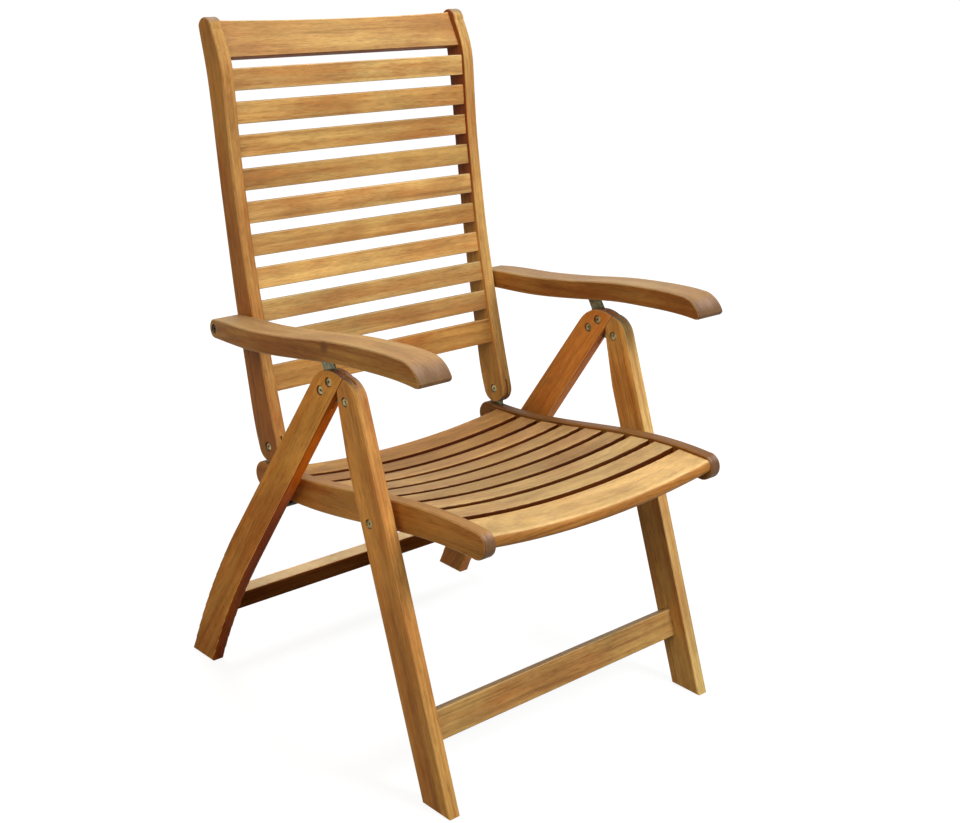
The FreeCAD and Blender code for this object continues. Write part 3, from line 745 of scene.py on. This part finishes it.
@dataclass
class WoodenParts:
    """The boards of the legs, the seat, the back and the armrests."""

    timber: Timber = Timber()
    front_leg_lean: float = 22.35
    rear_leg_lean: float = -30.5
    rear_stretcher_lean: float = -24.1
    stile_lean: float = 14.5
    top_rail_lean: float = 30.0
    rail_lean: float = 96.5
    arm_lean: float = 95.5
    back_slat_lean: float = 14.0
    back_tones: tuple[float, ...] = (1.16, 1.05, 0.97, 0.87, 1.14, 0.95, 1.22, 0.94, 0.87, 0.85)
    back_warmth: tuple[float, ...] = (-1.4, -0.6, -0.5, -0.4, -1.2, -0.6, -0.9, -1.5, -1.2, 0.6)
    back_first_seed: int = 71
    seat_slat_lean: float = 5.0
    seat_tones: tuple[float, ...] = (0.97, 0.76, 0.77, 0.65, 0.75, 0.75, 0.87, 0.7, 0.8)
    seat_warmth: tuple[float, ...] = (-0.5, -0.8, -0.8, -0.4, -0.5, -0.3, 0.0, 0.7, 1.0)
    seat_first_seed: int = 91
    seat_red: float = 0.5
    seat_gloss: float = 0.06
    nose_red: float = 0.2
    # Painted shade: on the lower part of the front slat's nose, and on the edges of the other seat slats
    # down in their gaps.
    nose_shade: Colour = (0.68, 0.48, 0.34)
    gap_shade: Colour = (0.19, 0.07, 0.01)

    def side_boards(self) -> list[Board]:
        """Lists the legs, rails, stiles and armrests, which have their wide faces to the sides."""
        return [
            # Each board's edge shading paints light and shade on its edges.
            Board("front_leg_left", Cut.SIDE, self.front_leg_lean, seed=11, tone=1.25, warmth=0.3,
                  edge_shading=(0.96, 0.93, 0.9)),
            Board("front_leg_right", Cut.SIDE, self.front_leg_lean, seed=12, tone=1.4, warmth=-1.0,
                  edge_shading=(0.97, 1.05, 1.12)),
            Board("rear_leg_left", Cut.SIDE, self.rear_leg_lean, seed=21, tone=1.46, warmth=0.4, gloss=0.04,
                  edge_shading=(0.7, 0.3, 0.07)),
            Board("rear_leg_right", Cut.SIDE, self.rear_leg_lean, seed=22, tone=1.58, red=0.8,
                  edge_shading=(0.9, 0.65, 0.4)),
            Board("seat_rail_left", Cut.SIDE, self.rail_lean, seed=31, tone=0.85, warmth=0.6, top_sheen=0.2,
                  edge_shading=(0.68, 0.68, 0.7)),
            # The right seat rail's low tone and warmth paint the shade on its inner face.
            Board("seat_rail_right", Cut.SIDE, self.rail_lean, seed=32, tone=0.49, warmth=1.0, top_sheen=0.2,
                  edge_shading=(0.78, 0.72, 0.8)),
            Board("back_stile_left", Cut.SIDE, self.stile_lean, seed=41, tone=0.92, warmth=0.3,
                  end_shade=0.45),
            Board("back_stile_right", Cut.SIDE, self.stile_lean, seed=42, tone=1.02, warmth=-0.5,
                  shade_tint=(0.5, 0.28, 0.2), shade_from=0.62, end_shade=0.4),
            Board("armrest_left", Cut.SIDE, self.arm_lean, seed=51, tone=0.76, warmth=-0.2, red=0.6,
                  end_shade=0.75, knot=(-0.325, -0.058, 0.652)),
            Board("armrest_right", Cut.SIDE, self.arm_lean, seed=52, tone=0.7, warmth=-0.3, red=0.7,
                  end_shade=0.68, edge_shading=(0.88, 0.88, 0.9)),
        ]

    def cross_boards(self) -> list[Board]:
        """Lists the stretchers and the top rail, which run from side to side."""
        return [
            Board("front_stretcher", Cut.FRONT, self.front_leg_lean, seed=61, tone=0.98, warmth=-0.4,
                  edge_shading=(0.74, 0.76, 0.74)),
            # The rear stretcher's top sheen and edge shading paint light on its top face, and its shade tint
            # paints shade on its front face.
            Board("rear_stretcher", Cut.FRONT, self.rear_stretcher_lean, seed=62, top_sheen=0.95, gloss=0.0,
                  edge_shading=(1.85, 1.85, 2.0), shade_tint=(0.66, 0.37, 0.26), shade_way=TO_FRONT),
            Board("top_rail", Cut.FRONT, self.top_rail_lean, seed=63, tone=1.02, warmth=-0.7, red=0.6,
                  shade_tint=(0.5, 0.3, 0.18), shade_way=(0.0, -0.5, -0.866)),
        ]

    def back_slats(self) -> list[Board]:
        """Lists the slats of the back."""
        return [Board("back_slat_%d" % (index + 1), Cut.FRONT, self.back_slat_lean,
                      seed=self.back_first_seed + index, tone=tone, warmth=warmth)
                for index, (tone, warmth) in enumerate(zip(self.back_tones, self.back_warmth))]

    def seat_slats(self) -> list[Board]:
        """Lists the slats of the seat, the front one with its rounded nose first."""
        slats = []
        for index, (tone, warmth) in enumerate(zip(self.seat_tones, self.seat_warmth)):
            is_nose = index == 0
            slats.append(Board("seat_slat_%d" % (index + 1), Cut.TOP, self.seat_slat_lean,
                               seed=self.seat_first_seed + index, tone=tone, warmth=warmth,
                               red=self.nose_red if is_nose else self.seat_red, gloss=self.seat_gloss,
                               edge_shading=self.nose_shade if is_nose else self.gap_shade))
        return slats

    def dress(self) -> None:
        """Gives every board its wood."""
        for board in self.side_boards() + self.cross_boards() + self.back_slats() + self.seat_slats():
            dress(board.node, BoardSkin(self.timber, board).material())


@dataclass
class Hardware:
    """The bolts, plates, pins, washers and spacers."""

    bolts: Plating = Plating("yellow_zinc", srgb(176, 162, 118), srgb(96, 87, 60))
    plates: Plating = Plating("grey_zinc", srgb(128, 126, 100), srgb(84, 84, 64), roughness=0.44)
    # A dark plating for the pivot bolts and the support pins.
    pivots: Plating = Plating("dark_steel", srgb(74, 66, 52), srgb(38, 34, 28), roughness=0.5)
    dark_nodes: tuple[str, ...] = ("arm_pivot_bolts", "support_pin_left", "support_pin_right")

    def dress(self) -> None:
        """Gives every steel piece its plating."""
        yellow = self.bolts.material()
        grey = self.plates.material()
        dark = self.pivots.material()
        for part in frame["record"]["subparts"]:
            node = part["node"]
            if node in self.dark_nodes:
                dress(node, dark)
            elif part["material_slot"] == STEEL_SLOT:
                dress(node, yellow if node.endswith("bolts") else grey)


@dataclass(frozen=True)
class SoftBox:
    """A round soft lamp: its place, the point that it faces, its width in metres and its power in watts."""

    name: str
    place: Point
    aim: Point
    width: float
    power: float
    colour: Colour = WHITE

    def hang(self) -> None:
        """Adds the lamp to the scene."""
        data = bpy.data.lights.new(self.name, "AREA")
        data.shape = "DISK"
        data.size = self.width
        data.energy = self.power
        data.color = self.colour
        lamp = bpy.data.objects.new(self.name, data)
        lamp.location = self.place
        lamp.rotation_euler = (Vector(self.aim) - Vector(self.place)).to_track_quat("-Z", "Y").to_euler()
        bpy.context.scene.collection.objects.link(lamp)


@dataclass
class Studio:
    """The floor, the soft light and the camera at the photograph's place."""

    place: Point = (-1.6346, -1.6943, 1.3241)
    azimuth: float = -45.084
    elevation: float = 22.073
    roll: float = 3.647
    focal_px: float = 1546.4
    centre_px: tuple[float, float] = (482.0, 471.0)
    floor_half: float = 40.0
    floor_colour: Colour = (0.18, 0.18, 0.18)
    floor_lift: Colour = (0.9, 0.9, 0.9)
    floor_fade: Span = (0.8, 2.2)
    world_light: float = 0.13
    lamps: tuple[SoftBox, ...] = (
        SoftBox("key", (0.7, -2.2, 2.2), (0.0, 0.0, 0.45), width=1.3, power=62.0),
        SoftBox("top", (0.3, 1.0, 3.0), (0.0, 0.0, 0.4), width=1.2, power=44.0),
        SoftBox("fill", (-2.2, -0.8, 2.0), (0.0, 0.0, 0.5), width=1.8, power=26.0, colour=(1.0, 0.88, 0.72)),
    )

    def camera(self) -> None:
        """Sets the camera up at the photograph's viewing angle."""
        turn, tip, roll = (math.radians(angle) for angle in (self.azimuth, self.elevation, self.roll))
        back = Vector((math.sin(turn) * math.cos(tip), -math.cos(turn) * math.cos(tip), math.sin(tip)))
        right = (-back).cross(Vector(UP)).normalized()
        up = back.cross(right)
        across = right * math.cos(roll) + up * math.sin(roll)
        upright = up * math.cos(roll) - right * math.sin(roll)
        lens = bpy.data.cameras.new("camera")
        lens.sensor_width = SENSOR_MM
        lens.lens = self.focal_px * SENSOR_MM / IMAGE_WIDTH
        lens.shift_x = (IMAGE_WIDTH / 2 - self.centre_px[0]) / IMAGE_WIDTH
        lens.shift_y = (self.centre_px[1] - IMAGE_HEIGHT / 2) / IMAGE_WIDTH
        camera = bpy.data.objects.new("camera", lens)
        pose = Matrix((across, upright, back)).transposed().to_4x4()
        pose.translation = Vector(self.place)
        camera.matrix_world = pose
        bpy.context.scene.collection.objects.link(camera)
        bpy.context.scene.camera = camera

    def seen(self, graph: Graph) -> Value:
        """Tells the rays that the camera, a gloss or a glass sends out.

        Args:
            graph: The tree that asks.

        Returns:
            1 for such a ray, and 0 for the light that falls on the object.
        """
        path = graph.add("ShaderNodeLightPath")
        camera, glossy, through = (Value(graph, path.outputs[name]) for name in
                                   ("Is Camera Ray", "Is Glossy Ray", "Is Transmission Ray"))
        return (camera + glossy + through).rise(0.0, 1.0)

    def floor(self) -> None:
        """Lays the pale floor, which keeps a soft shadow."""
        bpy.ops.object.select_all(action="DESELECT")
        bpy.ops.mesh.primitive_plane_add(size=2 * self.floor_half, location=(0.0, 0.0, 0.0))
        floor = bpy.context.object
        floor.name = "floor"
        graph = Graph(bpy.data.materials.new("pale_floor"))
        where = graph.add("ShaderNodeTexCoord").outputs["Object"]
        length = graph.add("ShaderNodeVectorMath", {"operation": "LENGTH"}, {0: where})
        away = Value(graph, length.outputs["Value"])
        lift = graph.mix(self.floor_lift, WHITE, away.rise(*self.floor_fade))
        pale = graph.add("ShaderNodeBsdfDiffuse", {}, {"Color": (*self.floor_colour, 1.0)})
        glow = graph.add("ShaderNodeEmission", {}, {"Color": lift, "Strength": self.seen(graph)})
        both = graph.add("ShaderNodeAddShader", {}, {0: pale.outputs[0], 1: glow.outputs[0]})
        graph.add("ShaderNodeOutputMaterial", {}, {"Surface": both.outputs[0]})
        floor.data.materials.append(graph.owner)

    def world(self) -> None:
        """Makes a backdrop that is white to look at and dim as a light."""
        graph = Graph(bpy.data.worlds.new("world"))
        strength = self.seen(graph) * (1.0 - self.world_light) + self.world_light
        sky = graph.add("ShaderNodeBackground", {}, {"Color": (*WHITE, 1.0), "Strength": strength})
        graph.add("ShaderNodeOutputWorld", {}, {"Surface": sky.outputs[0]})
        bpy.context.scene.world = graph.owner

    def build(self) -> None:
        """Builds the floor, the world, the lamps and the camera."""
        bpy.context.scene.view_settings.view_transform = "Standard"
        self.floor()
        self.world()
        for lamp in self.lamps:
            lamp.hang()
        self.camera()


def main() -> None:
    """Dresses the chair, sets the studio up and reports each piece."""
    logging.basicConfig(level=logging.INFO, format="%(name)s: %(message)s")
    WoodenParts().dress()
    Hardware().dress()
    Studio().build()


if __name__ == "__main__":
    main()
